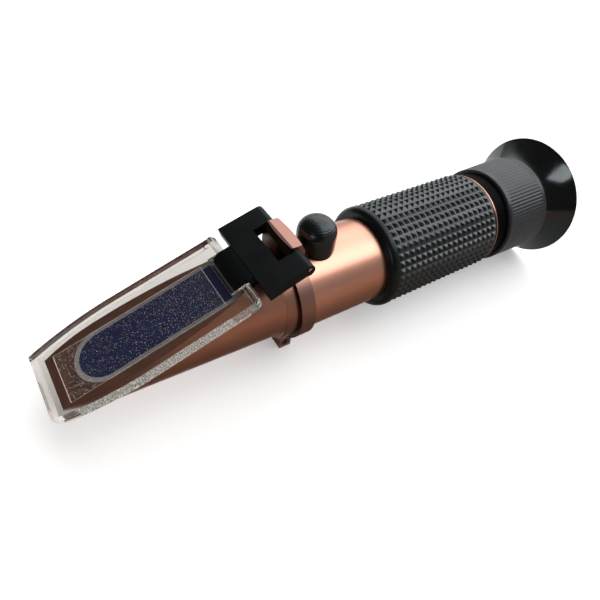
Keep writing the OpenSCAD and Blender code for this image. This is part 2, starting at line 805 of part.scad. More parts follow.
module eyepiece_tube() {
    tube_l = tube_gap + eye_tube_in;
    front_x = barrel_end - eye_spigot_l;
    color([0.07, 0.07, 0.08]) placed() difference() {
        union() {
            rod(front_x, eye_spigot_l + step_t, eye_spigot_r);
            rod(barrel_end, tube_l, eye_tube_r);
        }
        rod(front_x - cut, eye_spigot_l + tube_l + 2 * cut, field_r);
        rod(front_x - cut, reticle_x + reticle_t - front_x + cut, reticle_r + seat_clear);
        rod(barrel_end + step_t, tube_l, eye_bore_r);
        turned(eye_tube_end) translate([eye_tube_r - ring_groove, -ring_groove_in])
            square([2 * ring_groove, groove_w]);
        translate([key_x, 0, 0]) cylinder(h = reach, r = key_r, $fn = small);
    }
}

module tube_key() {
    color([0.7, 0.7, 0.7]) placed() translate([key_x, 0, eye_bore_r - key_in])
        cylinder(h = key_in + eye_tube_wall - slide_clear, r = key_r - seat_clear, $fn = small);
}

module focus_oring() {
    color([0.05, 0.05, 0.05]) placed() turned(eye_tube_end - ring_groove_in + groove_w / 2)
        translate([eye_tube_r - focus_oring_r - seat_clear, 0]) circle(r = focus_oring_r, $fn = small);
}

// Lens cell: it slides in the eyepiece tube, the key stops it from turning, and it carries the ring on its rear end
module eye_cell() {
    slot_x = key_x - travel_out - key_r - air;
    color([0.1, 0.1, 0.11]) placed() difference() {
        union() {
            rod(cell_x, flange_x - slide_clear - cell_x, cell_r);
            rod(cell_x, cell_l, cell_stem_r);
        }
        rod(cell_x - cut, cell_l + 2 * cut, cell_bore_r);
        rod(cell_x + lens_rest, cell_l, lens_r);
        turned(keeper_x - seat_clear) translate([cell_stem_r - keeper_bite, 0])
            square([2 * keeper_bite, keeper_t + 2 * seat_clear]);
        translate([slot_x, -key_r - slide_clear, cell_r - key_in - slide_clear])
            cube([travel_in + travel_out + 2 * (key_r + air), 2 * (key_r + slide_clear), 2 * key_in]);
    }
}

module field_lens() {
    color([0.8, 0.88, 0.92, 0.5]) placed() lens(field_lens_x, field_lens_t, lens_r - seat_clear);
}

module lens_spacer() {
    color([0.1, 0.1, 0.1]) placed() tube(spacer_x, lens_gap, lens_r - seat_clear, cell_bore_r);
}

module eye_lens() {
    color([0.8, 0.88, 0.92, 0.5]) placed() lens(eye_lens_x, eye_lens_t, lens_r - seat_clear);
}

module lens_retainer() {
    color([0.1, 0.1, 0.1]) placed() tube(lens_retainer_x, retainer_t, lens_r - seat_clear, cell_bore_r);
}

module focus_ring() {
    neck_r = cell_stem_r + slide_clear;
    flange_at = flange_x - ring_x;
    color([0.3, 0.31, 0.32]) placed() turned(ring_x) difference() {
        polygon([[ring_bore_r, 0], [ring_front_r - ring_chamfer, 0], [ring_front_r, ring_chamfer],
            [ring_r, ring_l - ring_chamfer], [ring_r - ring_chamfer, ring_l], [neck_r, ring_l],
            [neck_r, flange_at], [ring_bore_r, flange_at]]);
        translate([0, ring_l - cup_seat]) square([cup_bead_r + seat_clear, cup_seat + cut]);
    }
}

// A split spring washer in the cell's groove holds the ring on the cell
module ring_keeper() {
    color([0.7, 0.7, 0.72]) placed() difference() {
        tube(keeper_x, keeper_t, cell_stem_r + keeper_bite, cell_stem_r - keeper_bite + seat_clear);
        translate([keeper_x - cut, -keeper_slit / 2, 0]) cube([keeper_t + 2 * cut, keeper_slit, reach]);
    }
}

// Flared rubber cup: its bead sits in the focus ring and its wall curves out to the rim
module eyecup() {
    steps = cup_steps;
    in_r = cell_stem_r + keeper_bite + air;
    flare = function(t) cup_neck_r + (cup_r - cup_neck_r) * pow(t, flare_power);
    outer = [for (i = [0 : steps]) [flare(i / steps), cup_l * i / steps]];
    inner = [for (i = [steps : -1 : 0]) [max(flare(i / steps) - cup_wall, in_r), cup_l * i / steps]];
    color([0.07, 0.07, 0.07]) placed() turned(cup_x) polygon(concat(
        [[in_r, seat_clear - cup_seat], [cup_bead_r, seat_clear - cup_seat], [cup_bead_r, 0]], outer, inner));
}

prism_housing();
main_prism();
prism_seal();
prism_bed();
daylight_plate();
plate_bracket();
hinge_pin();
hinge_collar();
clamp_screw();
housing_oring();
light_baffle();
barrel_tube();
grip_sleeve();
calibration_bush();
calibration_screw();
calibration_cap();
lens_carrier();
objective_lens();
objective_retainer();
strip_anchor();
bimetal_strip();
carrier_spring();
scale_reticle();
reticle_retainer();
eyepiece_tube();
tube_key();
eye_cell();
field_lens();
lens_spacer();
eye_lens();
lens_retainer();
focus_ring();
ring_keeper();
focus_oring();
eyecup();
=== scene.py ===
# Looks of the hand refractometer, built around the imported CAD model.
# Everything is in metres in the CAD frame: X along the optical axis towards the eyecup, Z up, table at Z = 0.
# Sizes of pieces are in millimetres and are scaled when a mesh is made; studio and camera are in metres.
import bpy
import bmesh
import math
import numpy as np
from mathutils import Matrix


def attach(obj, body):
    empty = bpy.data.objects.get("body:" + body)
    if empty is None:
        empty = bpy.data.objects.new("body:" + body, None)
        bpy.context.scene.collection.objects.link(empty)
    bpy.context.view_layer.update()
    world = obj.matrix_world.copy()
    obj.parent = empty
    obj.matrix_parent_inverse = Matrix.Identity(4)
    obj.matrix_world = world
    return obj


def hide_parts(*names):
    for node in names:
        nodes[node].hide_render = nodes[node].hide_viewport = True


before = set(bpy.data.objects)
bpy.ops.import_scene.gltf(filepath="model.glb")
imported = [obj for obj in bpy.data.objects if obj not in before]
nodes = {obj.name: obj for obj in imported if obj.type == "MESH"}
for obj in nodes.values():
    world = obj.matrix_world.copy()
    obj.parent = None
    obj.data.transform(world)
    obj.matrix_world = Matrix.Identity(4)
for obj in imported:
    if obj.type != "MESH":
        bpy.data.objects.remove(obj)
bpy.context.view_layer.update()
scene = bpy.context.scene
mm = 0.001
axisHeight = 20.0  # height of the optical axis over the table

# The sloping prism face: X runs up the slope from the housing's front edge, Z is its normal
face = {"frontX": -78.8645, "frontZ": 15.9, "slope": math.radians(18.8)}


def onFace(s, y, h):
    # A point given along the face, across it and over it, in millimetres of the CAD frame
    c, n = math.cos(face["slope"]), math.sin(face["slope"])
    s, y, h = np.broadcast_arrays(np.asarray(s, float), y, h)
    return np.stack([face["frontX"] + s * c - h * n, y, face["frontZ"] + s * n + h * c], axis=-1)


def overFace(points):
    # The way back: how far points lie up the slope and over the face
    c, n = math.cos(face["slope"]), math.sin(face["slope"])
    x, z = points[:, 0] - face["frontX"], points[:, 2] - face["frontZ"]
    return x * c + z * n, z * c - x * n


def gridQuads(rows, cols, closedRows=False):
    # Corner numbers of the quads between neighbouring points of a rows x cols grid; its columns go round
    r = np.arange(rows if closedRows else rows - 1)[:, None]
    c = np.arange(cols)[None, :]
    r2, c2 = (r + 1) % rows, (c + 1) % cols
    corners = (r * cols + c, r * cols + c2, r2 * cols + c2, r2 * cols + c)
    return np.stack(np.broadcast_arrays(*corners), axis=-1).reshape(-1, 4)


def makePiece(name, points, faces, material, body, slotName, sharp=35, replaced=()):
    # Mesh from an array of points in millimetres and lists of corner numbers; its place is in its mesh
    mesh = bpy.data.meshes.new(name)
    mesh.from_pydata((np.asarray(points, float) * mm).tolist(), [], [list(map(int, f)) for f in faces])
    mesh.validate()
    mesh.polygons.foreach_set("use_smooth", np.ones(len(mesh.polygons), bool))
    mesh.set_sharp_from_angle(angle=math.radians(sharp))
    piece = bpy.data.objects.new(name, mesh)
    scene.collection.objects.link(piece)
    return dress(piece, material, body, replaced)


def dress(piece, material, body, replaced=()):
    # Gives a piece its materials and the body it moves with, and hides the CAD nodes it stands for
    for m in material if isinstance(material, (list, tuple)) else [material]:
        piece.data.materials.append(m)
    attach(piece, body)
    if replaced:
        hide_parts(*replaced)
    return piece


def turned(x, r, sides):
    # Points of a profile (x along the optical axis, r its radius) carried round the axis; r may vary round
    # it. The sides are their number or their own angles from +Y
    x, r = np.asarray(x, float), np.asarray(r, float)
    angle = np.asarray(sides, float)
    if np.isscalar(sides):
        angle = np.linspace(0, 2 * math.pi, sides, endpoint=False)
    r = np.broadcast_to(r if r.ndim == 2 else r[:, None], (len(x), len(angle)))
    return np.stack([np.broadcast_to(x[:, None], r.shape), r * np.cos(angle),
                     axisHeight + r * np.sin(angle)], axis=-1).reshape(-1, 3)


def turnedPiece(name, profile, sides, material, body, slotName, **more):
    # A closed outline of (x, r) points turned once round the optical axis; its quads are reversed so that
    # they face outwards
    profile = np.asarray(profile, float)
    points = turned(profile[:, 0], profile[:, 1], sides)
    quads = gridQuads(len(profile), sides, closedRows=True)[:, ::-1]
    return makePiece(name, points, quads, material, body, slotName, **more)


# Points closer than dist in metres become one, and faces that turn by less than flat become one
merge = {"dist": 2e-6, "flat": math.radians(0.6)}


def roundedCopy(name, node, width, material, body, angle=30, segments=3, choose=None):
    # The CAD node's own shape with its loose triangles joined, its flat faces made whole and its edges
    # rounded. With choose, a share of the width for every edge from its two ends, in millimetres
    mesh = nodes[node].data.copy()
    mesh.name = name
    mesh.materials.clear()
    work = bmesh.new()
    work.from_mesh(mesh)
    bmesh.ops.remove_doubles(work, verts=work.verts, dist=merge["dist"])
    bmesh.ops.dissolve_limit(work, angle_limit=merge["flat"], verts=work.verts, edges=work.edges)
    work.to_mesh(mesh)
    work.free()
    mesh.polygons.foreach_set("use_smooth", np.ones(len(mesh.polygons), bool))
    mesh.set_sharp_from_angle(angle=math.radians(angle))
    piece = bpy.data.objects.new(name, mesh)
    scene.collection.objects.link(piece)
    rounding = piece.modifiers.new("rounding", "BEVEL")
    rounding.width = width * mm
    rounding.segments = segments
    rounding.limit_method = "WEIGHT" if choose else "ANGLE"
    rounding.angle_limit = math.radians(angle)
    rounding.harden_normals = True
    if choose:
        places, ends = np.zeros(len(mesh.vertices) * 3), np.zeros(len(mesh.edges) * 2, np.int32)
        mesh.vertices.foreach_get("co", places)
        mesh.edges.foreach_get("vertices", ends)
        first, last = (places.reshape(-1, 3)[ends.reshape(-1, 2)] / mm).transpose(1, 0, 2)
        weight = mesh.attributes.new("bevel_weight_edge", "FLOAT", "EDGE")
        weight.data.foreach_set("value", choose(first, last).astype(np.float32))
    return dress(piece, material, body, (node,))


def add(tree, kind, settings=None, **values):
    # One node; a value that is a socket is linked. A socket goes by its name, with _ for a blank, or by its
    # number after an i
    made = tree.nodes.new("ShaderNode" + kind)
    for key, value in (settings or {}).items():
        setattr(made, key, value)
    for key, value in values.items():
        socket = made.inputs[int(key[1:])] if key[1:].isdigit() else made.inputs[key.replace("_", " ")]
        if isinstance(value, bpy.types.NodeSocket):
            tree.links.new(value, socket)
        else:
            socket.default_value = value
    return made


def maths(tree, operation, *values):
    # The result of one Math node
    sockets = {f"i{place}": value for place, value in enumerate(values)}
    return add(tree, "Math", {"operation": operation}, **sockets).outputs[0]


def dimmed(tree, tone, share):
    # A colour times a number
    return add(tree, "VectorMath", {"operation": "SCALE"}, i0=tone, Scale=share).outputs[0]


def distanceAlong(tree, direction):
    # Object coordinates measured along a direction, in metres
    made = add(tree, "VectorMath", {"operation": "DOT_PRODUCT"}, i0=objectPoints(tree), i1=direction)
    return made.outputs["Value"]


def onAxis(tree, axis, vector=None):
    # One part of a vector, by its letter; of the object coordinates where no vector is given
    vector = objectPoints(tree) if vector is None else vector
    return add(tree, "SeparateXYZ", Vector=vector).outputs[axis]


def surface(tree, tone, kind="Diffuse"):
    # A shader with nothing but a tone
    return add(tree, "Bsdf" + kind, Color=tone).outputs[0]


def blend(tree, share, first, second):
    # The first shader with a share of the second
    return add(tree, "MixShader", i0=share, i1=first, i2=second).outputs[0]


def colour(rgb):
    return (*rgb, 1.0)


def newMaterial(name, looks):
    # An empty node tree; looks is the plain colour of the solid view
    material = bpy.data.materials.new(name)
    material.use_nodes = True
    material.node_tree.nodes.clear()
    material.diffuse_color = colour(looks)
    return material, material.node_tree


def objectPoints(tree, scale=(1, 1, 1)):
    # Object coordinates, stretched where a pattern runs longer one way
    place = add(tree, "TexCoord")
    return add(tree, "Mapping", i1=(0, 0, 0), Vector=place.outputs["Object"], Scale=scale).outputs[0]


def noise(tree, vector, size, detail=3.0, rough=0.5):
    # Noise whose grains are about this many millimetres across
    made = add(tree, "TexNoise", Vector=vector, Scale=1 / (size * mm), Detail=detail, Roughness=rough)
    return made.outputs[0]


def ramp(tree, factor, stops):
    # Colours by a factor, as a list of places and colours
    made = add(tree, "ValToRGB", i0=factor)
    band = made.color_ramp
    while len(band.elements) < len(stops):
        band.elements.new(0.5)
    for element, (place, rgb) in zip(band.elements, stops):
        element.position, element.color = place, colour(rgb)
    return made.outputs[0]


def remap(tree, value, low, high, toLow, toHigh):
    # A value taken from the range low to high into toLow to toHigh, and held there
    return add(tree, "MapRange", i0=value, i1=low, i2=high, i3=toLow, i4=toHigh).outputs[0]


def bump(tree, height, distance, strength):
    # Normals of a relief of this many millimetres
    return add(tree, "Bump", Height=height, Distance=distance * mm, Strength=strength).outputs[0]


def output(tree, shader):
    add(tree, "OutputMaterial", Surface=shader)


def shades(rgb, spread):
    # A darker tone, the tone itself and a lighter one
    return [tuple(c * k for c in rgb) for k in (1 - spread, 1.0, 1 + spread)]


def anodised(name, rgb, roughness=0.33, spread=0.06, lines=0.0002, dark=()):
    # Coloured anodised aluminium: turned lines run round the axis, with soft clouds of tone. Beyond each dark
    # plane, given by its direction and the two distances between which it sets in, the tone falls to a share
    material, tree = newMaterial(name, rgb)
    turnedLines = noise(tree, objectPoints(tree, (1, 0.02, 0.02)), 0.12, 2.0)
    clouds = noise(tree, objectPoints(tree), 9, 3.0)
    grains = noise(tree, objectPoints(tree), 0.16, 2.0)
    mixed = maths(tree, "MULTIPLY_ADD", grains, 0.45, remap(tree, clouds, 0.2, 0.8, 0.0, 0.55))
    low, middle, high = shades(rgb, spread)
    tone = ramp(tree, mixed, [(0.25, low), (0.5, middle), (0.78, high)])
    for plane, sets, full, share in dark:
        away = distanceAlong(tree, plane)
        tone = dimmed(tree, tone, remap(tree, away, sets * mm, full * mm, 1.0, share))
    rough = remap(tree, turnedLines, 0.3, 0.7, roughness - 0.015, roughness + 0.02)
    shader = add(tree, "BsdfPrincipled", Base_Color=tone, Metallic=1.0, Roughness=rough,
                 Normal=bump(tree, turnedLines, lines, 0.4))
    output(tree, shader.outputs[0])
    return material


coolShine = (0.86, 0.95, 1.0)  # tint of what black rubber and plastic reflect


def moulded(name, rgb, roughness=0.4, grain=0.25, depth=0.004, spread=0.12, specular=0.5, patches=6.0,
             dullBefore=None):
    # Moulded rubber or plastic: a fine grain in the surface and faint patches that are a little duller; what
    # lies before the X of dullBefore shines less
    material, tree = newMaterial(name, rgb)
    fine = noise(tree, objectPoints(tree), grain, 3.0, 0.6)
    wide = noise(tree, objectPoints(tree), patches, 4.0, 0.6)
    low, middle, high = shades(rgb, spread)
    tone = ramp(tree, wide, [(0.3, low), (0.5, middle), (0.72, high)])
    rough = remap(tree, wide, 0.3, 0.7, roughness - 0.05, roughness + 0.06)
    if dullBefore:
        fades = [(dullBefore - 0.3) * mm, dullBefore * mm]
        specular = remap(tree, onAxis(tree, "X"), *fades, 0.35 * specular, specular)
    shader = add(tree, "BsdfPrincipled", Base_Color=tone, Roughness=rough, Specular_IOR_Level=specular,
                 Specular_Tint=colour(coolShine), Normal=bump(tree, fine, depth, 0.6))
    output(tree, shader.outputs[0])
    return material


def bareMetal(name, rgb, roughness=0.25, grain=0.2):
    # Turned or drawn metal with a fine grain
    material, tree = newMaterial(name, rgb)
    fine = noise(tree, objectPoints(tree), grain, 2.0)
    low, middle, high = shades(rgb, 0.1)
    tone = ramp(tree, fine, [(0.3, low), (0.5, middle), (0.7, high)])
    rough = remap(tree, fine, 0.3, 0.7, roughness - 0.06, roughness + 0.08)
    shader = add(tree, "BsdfPrincipled", Base_Color=tone, Metallic=1.0, Roughness=rough,
                 Normal=bump(tree, fine, 0.002, 0.4))
    output(tree, shader.outputs[0])
    return material


# Tones of the plate's frosted skin, of the painted reflection stripes along its rounded bars and of the
# painted dark reflection in a wall
frostTones = [(0.38, (0.2, 0.19, 0.175)), (0.5, (0.48, 0.465, 0.425)), (0.62, (0.93, 0.91, 0.85))]
paintedRodReflections = [(0.36, (0.03, 0.03, 0.028)), (0.48, (0.3, 0.295, 0.28)), (0.6, (0.85, 0.84, 0.8))]
paintedInsideReflection = (0.03, 0.013, 0.011)

# The plate's acrylic: its tint, the frosted stretch and how softly it ends, the shares of frost on it and
# after it, and the shares of the painted dark reflection and of the painted reflection stripes
acrylic = {"tint": (0.79, 0.77, 0.735), "frost": (2.9, 41.4), "frostEdge": 0.25, "frosted": 0.86,
           "frostAfter": 0.5, "inside": 0.8, "rod": 0.55}


def clearGlass(name, rgb, ior=1.49, roughness=0.0, ripple=0.0006, frost=None, inside=0.0, rod=0.0):
    # Clear glass or acrylic; shadow and diffuse rays pass it straight, so what lies below stays lit. Between
    # the two distances of frost along the prism face it has a streaky frosted skin; inside is the share of a
    # painted dark reflection over the wall where it is seen from within; rod is the share of the painted
    # bright and dark reflections that run as stripes along a rounded bar
    material, tree = newMaterial(name, rgb)
    wave = noise(tree, objectPoints(tree), 5, 1.0)
    glass = add(tree, "BsdfPrincipled", Base_Color=colour(rgb), Roughness=roughness, IOR=ior,
                Transmission_Weight=1.0, Normal=bump(tree, wave, ripple, 0.3)).outputs[0]
    path = add(tree, "LightPath").outputs
    straight = maths(tree, "MAXIMUM", path["Is Shadow Ray"], path["Is Diffuse Ray"])
    clear = blend(tree, straight, glass, surface(tree, colour([0.5 + 0.5 * c for c in rgb]), "Transparent"))
    if frost:
        streaks = noise(tree, objectPoints(tree, (1, 1, 0.4)), 0.26, 3.0, 0.7)
        tone = ramp(tree, streaks, frostTones)
        skin = blend(tree, 0.25, surface(tree, tone), surface(tree, tone, "Translucent"))
        along = alongFace(tree)
        soft = acrylic["frostEdge"]
        starts, ends = ([(place - soft) * mm, (place + soft) * mm] for place in frost)
        begun = remap(tree, along, *starts, 0.0, acrylic["frosted"])
        kept = remap(tree, along, *ends, 1.0, acrylic["frostAfter"])
        clear = blend(tree, maths(tree, "MULTIPLY", begun, kept), clear, skin)
    # Painted reflections: bright and dark stripes along the rounded bars
    if rod:
        stripes = noise(tree, objectPoints(tree, (1, 0.06, 1)), 0.5, 2.0, 0.6)
        clear = blend(tree, rod, clear, surface(tree, ramp(tree, stripes, paintedRodReflections)))
    # Painted dark reflection: a dark tone covers the wall where it is seen from within
    if inside:
        behind = maths(tree, "MULTIPLY", add(tree, "NewGeometry").outputs["Backfacing"], inside)
        clear = blend(tree, behind, clear, surface(tree, colour(paintedInsideReflection)))
    output(tree, clear)
    return material


def alongFace(tree):
    # Distance up the slope from the housing's front edge, in metres
    c, n = math.cos(face["slope"]), math.sin(face["slope"])
    start = (face["frontX"] * c + face["frontZ"] * n) * mm
    return maths(tree, "SUBTRACT", distanceAlong(tree, (c, 0, n)), start)


# The face's normal and how far along it the face lies, in millimetres
faceUp = (-math.sin(face["slope"]), 0, math.cos(face["slope"]))
faceLevel = face["frontX"] * faceUp[0] + face["frontZ"] * faceUp[2]

# The dark planes of the copper pieces: front ends of barrel and collar, the housing's face and its tip. The
# collar's front face and the housing's face and tip are painted shade; the barrel is darker in front of the
# collar
frontwards = (-1, 0, 0)
# Painted shade: the housing's face falls to 0.82 of its tone and its front tip to 0.2
housingPaintedShade = [(faceUp, faceLevel - 0.12, faceLevel - 0.05, 0.82), (frontwards, 78.7, 78.84, 0.2)]
copper = anodised("copperBarrel", (0.61, 0.305, 0.222), 0.3, dark=[(frontwards, 21.25, 21.35, 0.6)])
copperDark = anodised("copperHousing", (0.47, 0.23, 0.16), 0.36, dark=housingPaintedShade)
# Painted shade: the collar's front face falls to 0.2 of its tone
copperCollar = anodised("copperCollar", (0.31, 0.17, 0.137), 0.34, dark=[(frontwards, 21.2, 21.255, 0.2)])
gripRubber = moulded("gripRubber", (0.004, 0.0055, 0.0065), roughness=0.29, grain=0.2, depth=0.002,
                     specular=0.7, dullBefore=10.4)
ringPlastic = moulded("ringPlastic", (0.017, 0.02, 0.022), roughness=0.34, grain=0.22, depth=0.002,
                      specular=0.38)
cupRubber = moulded("cupRubber", (0.003, 0.0033, 0.003), roughness=0.14, grain=0.5, depth=0.0003,
                    specular=0.6)
capRubber = moulded("capRubber", (0.003, 0.0035, 0.0037), roughness=0.24, grain=0.3, depth=0.0006,
                    specular=0.48)
blackPlastic = moulded("blackPlastic", (0.0028, 0.0034, 0.0037), roughness=0.42, grain=0.18, depth=0.002,
                       specular=0.15)
blackRubber = moulded("blackRubber", (0.012, 0.012, 0.012), roughness=0.6, grain=0.3, depth=0.006)
tubeBlack = moulded("tubeBlack", (0.0015, 0.0015, 0.0018), roughness=0.45, grain=0.3, depth=0.0006,
                    specular=0.02)
blackMetal = moulded("blackMetal", (0.01, 0.01, 0.011), roughness=0.35, grain=0.15, depth=0.002)
brightSteel = bareMetal("brightSteel", (0.78, 0.78, 0.8))
screwSteel = bareMetal("screwSteel", (0.16, 0.06, 0.05), roughness=0.35)
brassMetal = bareMetal("brassMetal", (0.66, 0.5, 0.24), roughness=0.3)
clearAcrylic = clearGlass("clearAcrylic", acrylic["tint"])
frostedAcrylic = clearGlass("frostedAcrylic", acrylic["tint"], frost=acrylic["frost"])
farAcrylic = clearGlass("farAcrylic", acrylic["tint"], inside=acrylic["inside"])
rodAcrylic = clearGlass("rodAcrylic", acrylic["tint"], rod=acrylic["rod"])
lensGlass = clearGlass("lensGlass", (0.9, 0.96, 0.95), ior=1.52)


def prismMaterial():
    # Dark blue prism face with a faint mottle
    material, tree = newMaterial("prismFace", (0.012, 0.016, 0.06))
    mottle = noise(tree, objectPoints(tree), 1.6, 4.0, 0.6)
    blues = [(0.3, (0.006, 0.0115, 0.062)), (0.5, (0.0085, 0.016, 0.084)), (0.7, (0.012, 0.021, 0.11))]
    shader = add(tree, "BsdfPrincipled", Base_Color=ramp(tree, mottle, blues), Roughness=0.2,
                 Specular_IOR_Level=0.3, Normal=bump(tree, mottle, 0.002, 0.3))
    output(tree, shader.outputs[0])
    return material


def sealantMaterial():
    # Grey sealing line, a little uneven, and darker up the slope along the prism's sides
    material, tree = newMaterial("sealant", (0.37, 0.36, 0.375))
    grains = noise(tree, objectPoints(tree), 0.35, 3.0)
    greys = [(0.3, (0.29, 0.28, 0.3)), (0.5, (0.37, 0.36, 0.375)), (0.72, (0.48, 0.47, 0.48))]
    tone = dimmed(tree, ramp(tree, grains, greys), remap(tree, alongFace(tree), 8 * mm, 20 * mm, 1.0, 0.6))
    shader = add(tree, "BsdfPrincipled", Base_Color=tone, Roughness=0.6, Normal=bump(tree, grains, 0.02, 0.6))
    output(tree, shader.outputs[0])
    return material


# The pad's specks: the prism's outline, the sizes of the cells on it and beyond it, and the shares of them
# that stay clear on it and beyond it, with what is taken off towards the rear
specks = {"endCentre": 12.85, "radius": 7.0, "edge": 0.02, "fineCell": 0.2, "wideCell": 0.3, "clearOn": 0.83,
          "clearBeyond": 0.6, "rearFrom": 20, "rearTo": 42, "rearLess": 0.13}


def textureMaterial():
    # The pad's moulded texture: cells of random brightness over what lies below, each with a speck that fades
    # from its middle. Beyond the prism's rounded end more cells are lit and they are larger; that outline is
    # the distance from the prism's middle line. Towards the rear more are lit too
    material, tree = newMaterial("padTexture", (0.6, 0.6, 0.6))
    g = specks
    along = alongFace(tree)
    behind = maths(tree, "MINIMUM", maths(tree, "SUBTRACT", along, g["endCentre"] * mm), 0.0)
    offset = add(tree, "CombineXYZ", X=behind, Y=onAxis(tree, "Y")).outputs[0]
    away = add(tree, "VectorMath", {"operation": "LENGTH"}, i0=offset).outputs["Value"]
    outline = [g["radius"] * mm, (g["radius"] + g["edge"]) * mm]
    bare = remap(tree, away, *outline, g["clearOn"], g["clearBeyond"])
    rear = remap(tree, along, g["rearFrom"] * mm, g["rearTo"] * mm, 0.0, g["rearLess"])
    size = remap(tree, away, *outline, 1 / (g["fineCell"] * mm), 1 / (g["wideCell"] * mm))
    cells = add(tree, "TexVoronoi", Vector=objectPoints(tree), Scale=size, Randomness=1.0)
    chance = onAxis(tree, "X", cells.outputs["Color"])
    lit = remap(tree, chance, maths(tree, "SUBTRACT", bare, rear), 1.0, 0.01, 0.95)
    disc = remap(tree, cells.outputs["Distance"], 0.2, 0.55, 1.0, 0.1)
    veil = surface(tree, colour((0.75, 0.74, 0.75)))
    through = surface(tree, colour((1, 1, 1)), "Transparent")
    output(tree, blend(tree, maths(tree, "MULTIPLY", lit, disc), through, veil))
    return material


def joinMaterial():
    # Low steps under the plate, too slight to be seen as walls: light passes them straight
    material, tree = newMaterial("plateStep", (0.9, 0.9, 0.9))
    output(tree, surface(tree, colour((1, 1, 1)), "Transparent"))
    return material


def edgeHighlightMaterial():
    # The pad's outline is a painted highlight: a fine pale line, lit from above and from below, that stands
    # in for its edge catching the light
    material, tree = newMaterial("padEdgeHighlight", (0.8, 0.78, 0.76))
    tone = colour((0.95, 0.92, 0.9))
    both = add(tree, "AddShader", i0=surface(tree, tone, "Translucent"), i1=surface(tree, tone)).outputs[0]
    output(tree, blend(tree, 0.42, surface(tree, colour((1, 1, 1)), "Transparent"), both))
    return material


plateStep = joinMaterial()
padEdgeHighlight = edgeHighlightMaterial()
prismFace = prismMaterial()
sealant = sealantMaterial()
padTexture = textureMaterial()
print("materials made")

# CAD nodes that keep their own shape and take a finished material
nodeFinish = {
    "prism_housing": copperDark, "main_prism": prismFace, "prism_seal": sealant, "prism_bed": blackRubber,
    "hinge_pin": brightSteel, "clamp_screw": screwSteel, "housing_oring": blackRubber,
    "light_baffle": blackPlastic, "barrel_tube": copper, "calibration_bush": brassMetal,
    "calibration_screw": brightSteel, "lens_carrier": blackMetal, "objective_lens": lensGlass,
    "objective_retainer": blackMetal, "strip_anchor": blackMetal, "bimetal_strip": brassMetal,
    "carrier_spring": brightSteel, "scale_reticle": lensGlass, "reticle_retainer": blackMetal,
    "eyepiece_tube": tubeBlack, "tube_key": brightSteel, "eye_cell": blackMetal, "field_lens": lensGlass,
    "lens_spacer": blackMetal, "eye_lens": lensGlass, "lens_retainer": blackMetal,
    "ring_keeper": brightSteel, "focus_oring": blackRubber,
}
for nodeName, finish in nodeFinish.items():
    nodes[nodeName].data.materials.clear()
    nodes[nodeName].data.materials.append(finish)
print("CAD nodes finished:", len(nodeFinish))

grip = {"front": 7.7355, "length": 42.4, "radius": 15.2, "inner": 12.4, "nose": 2.0, "noseDrop": 1.8,
        "bandEnd": 2.6, "bandSlope": 0.15, "bandDrop": 0.08, "studStart": 2.92, "studEnd": 41.9, "rows": 19,
        "around": 41, "depth": 0.64, "flat": 0.18, "rearSlope": 0.12, "rearDrop": 0.15}


def gripPiece():
    # Rubber sleeve. A stud is a pyramid that stands in flat valleys: its height is the lesser of two tent
    # functions, one along the axis and one round it, and the two triangles of each quad are split along the
    # pyramid's ridges
    g = grip
    half = g["flat"] / 2
    share = np.array([0, half, (half + 0.5) / 2, 0.5, 1 - (half + 0.5) / 2, 1 - half])
    cells = len(share)
    tent = np.clip((0.5 - np.abs(share - 0.5) - half) / (0.5 - half), 0, 1)
    pitch = (g["studEnd"] - g["studStart"]) / g["rows"]
    along = (np.arange(g["rows"])[:, None] + share).ravel() * pitch
    along = g["front"] + g["studStart"] + np.append(along, g["rows"] * pitch)
    turn = 2 * math.pi / g["around"]
    angles = math.pi / 2 + ((np.arange(g["around"])[:, None] + share).ravel() - 0.5) * turn
    tentX, tentA = np.append(np.tile(tent, g["rows"]), 0), np.tile(tent, g["around"])
    low = g["radius"] - g["depth"]
    studs = low + g["depth"] * np.minimum(tentX[:, None], tentA[None, :])
    # The nose is a quarter of an ellipse from the front face to the smooth band
    sweep = np.radians(np.linspace(180, 90, 10))
    nose = np.stack([g["front"] + g["nose"] * (1 + np.cos(sweep)),
                     g["radius"] - g["noseDrop"] * (1 - np.sin(sweep))], axis=-1)
    bandEnd, end = g["front"] + g["bandEnd"], g["front"] + g["length"]
    before = np.vstack([[g["front"], g["inner"]], nose, [bandEnd - g["bandSlope"], g["radius"]],
                        [bandEnd, g["radius"] - g["bandDrop"]]])
    after = np.array([[end - g["rearSlope"], low], [end, low - g["rearDrop"]], [end, g["inner"]]])
    x = np.concatenate([before[:, 0], along, after[:, 0]])
    cols = len(angles)
    r = np.vstack([np.repeat(before[:, 1:], cols, axis=1), studs, np.repeat(after[:, 1:], cols, axis=1)])
    quads = gridQuads(len(x), cols, closedRows=True)
    row, col = quads[:, 0] // cols, quads[:, 0] % cols
    flip = ((row - len(before)) % cells < cells // 2) == (col % cells < cells // 2)
    flip &= (row >= len(before)) & (row < len(before) + g["rows"] * cells)
    a, b, c, d = quads.T
    first = np.where(flip[:, None], np.stack([a, c, b], 1), np.stack([a, d, b], 1))
    second = np.where(flip[:, None], np.stack([a, d, c], 1), np.stack([b, d, c], 1))
    return makePiece("gripSleeve", turned(x, r, angles), np.vstack([first, second]), gripRubber, "root",
                     "grip_rubber", sharp=25, replaced=("grip_sleeve",))


gripPiece()
print("grip made")

ring = {"front": 55.7355, "length": 17.3, "frontRadius": 15.2, "radius": 15.6, "bore": 14.26, "neck": 11.75,
        "flange": 13.4, "ridges": 90, "depth": 0.13, "ridgeStart": 1.2, "ridgeEnd": 15.9, "chamfer": 0.4,
        "chamferLength": 0.45, "fade": 0.7, "cells": 6}


